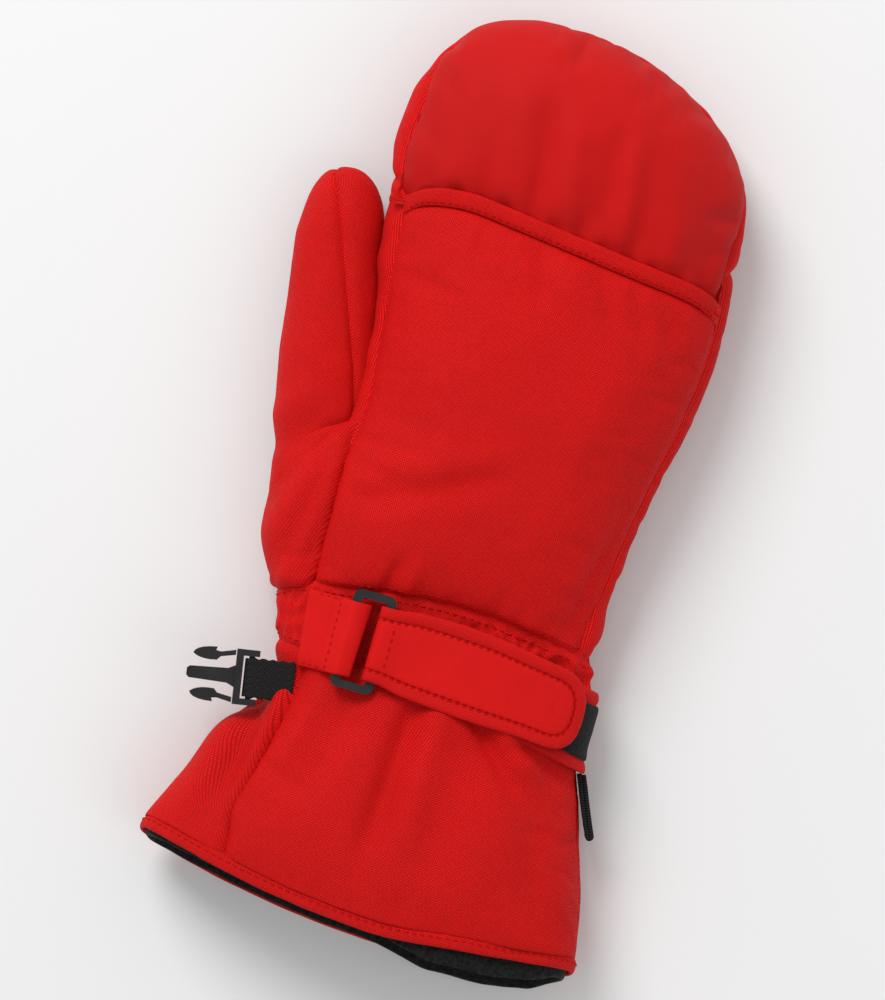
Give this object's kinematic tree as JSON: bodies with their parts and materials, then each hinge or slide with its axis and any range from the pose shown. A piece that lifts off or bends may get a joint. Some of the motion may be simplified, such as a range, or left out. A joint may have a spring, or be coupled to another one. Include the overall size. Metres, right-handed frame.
{
  "type": "ski mitten",
  "caption": "Insulated right-hand ski mitten with a gauntlet cuff, wrist cinch strap, flip-back fingertip hood and a side-release clip half.",
  "frame": {"origin": "centre of the palm, on the plane that the mitten rests on", "axes": "+Y to the fingertips, +Z out of the back of the hand, +X to the little finger"},
  "size_m": [0.1598, 0.3184, 0.048],
  "materials": {
    "shell_fabric": "matt woven nylon",
    "webbing_red": "matt bound fabric",
    "palm_leather": "pebbled, low sheen",
    "fleece": "short brushed pile",
    "insulation": "polyester wadding",
    "webbing": "matt ribbed weave",
    "loop_pile": "fuzzy loop pile",
    "plastic": "fine moulded satin"
  },
  "bodies": {
    "hand": {"back_panel": "shell_fabric", "back_hem": "shell_fabric", "little_finger_gusset": "shell_fabric", "index_gusset": "shell_fabric", "thumb_base_panel": "shell_fabric", "palm_leather": "palm_leather", "palm_panel": "shell_fabric", "wrist_casing": "shell_fabric", "wrist_elastic": "webbing", "cuff_hem": "shell_fabric", "cuff_back_panel": "shell_fabric", "cuff_palm_panel": "shell_fabric", "hand_insulation": "insulation", "hand_lining": "fleece", "finger_sleeve": "fleece", "strap_keeper": "webbing_red", "strap_base": "webbing_red", "loop_tape": "loop_pile", "clip_elastic": "webbing"},
    "hood": {"hood_back_panel": "shell_fabric", "hood_gusset": "shell_fabric", "hood_leather": "palm_leather", "hood_hem": "palm_leather", "hood_insulation": "insulation", "hood_lining": "fleece"},
    "thumb": {"thumb_outer_panel": "shell_fabric", "thumb_inner_panel": "shell_fabric", "thumb_leather": "palm_leather", "thumb_insulation": "insulation", "thumb_lining": "fleece"},
    "ring": {"strap_ring": "plastic"},
    "tab": {"tab_binding": "webbing_red", "strap_tab": "webbing_red", "hook_patch": "loop_pile"},
    "plug": {"plug_frame": "plastic"},
    "latch_upper": {"latch_arm_upper": "plastic"},
    "latch_lower": {"latch_arm_lower": "plastic"},
    "pull": {"pull_loop": "webbing"}
  },
  "joints": [
    {"name": "hood_flip", "type": "hinge", "parent": "hand", "child": "hood", "pos_m": [0, 0.088, 0.0482], "axis": [1, 0, 0], "range_deg": [0, 140]},
    {"name": "thumb_spread", "type": "hinge", "parent": "hand", "child": "thumb", "pos_m": [-0.056, -0.014, 0.016], "axis": [0, 0, 1], "range_deg": [0, 25], "stiffness_Nm_per_rad": 0.05},
    {"name": "ring_swivel", "type": "hinge", "parent": "hand", "child": "ring", "pos_m": [-0.0344, -0.0612, 0.04023], "axis": [0, -1, 0], "range_deg": [0, 35]},
    {"name": "tab_peel", "type": "hinge", "parent": "ring", "child": "tab", "pos_m": [-0.0226, -0.0612, 0.04023], "axis": [0, -1, 0], "range_deg": [0, 120]},
    {"name": "plug_swivel", "type": "hinge", "parent": "hand", "child": "plug", "pos_m": [-0.06224, -0.08392, 0.027], "axis": [0.1685, -0.9857, 0], "range_deg": [-35, 35]},
    {"name": "latch_upper_flex", "type": "hinge", "parent": "plug", "child": "latch_upper", "pos_m": [-0.06911, -0.07693, 0.027], "axis": [0, 0, 1], "range_deg": [0, 8], "stiffness_Nm_per_rad": 0.02},
    {"name": "latch_lower_flex", "type": "hinge", "parent": "plug", "child": "latch_lower", "pos_m": [-0.0664, -0.0928, 0.027], "axis": [0, 0, -1], "range_deg": [0, 8], "stiffness_Nm_per_rad": 0.02},
    {"name": "pull_swing", "type": "hinge", "parent": "hand", "child": "pull", "pos_m": [0.0562, -0.086, 0.013], "axis": [0, 0, 1], "range_deg": [0, 80]}
  ]
}
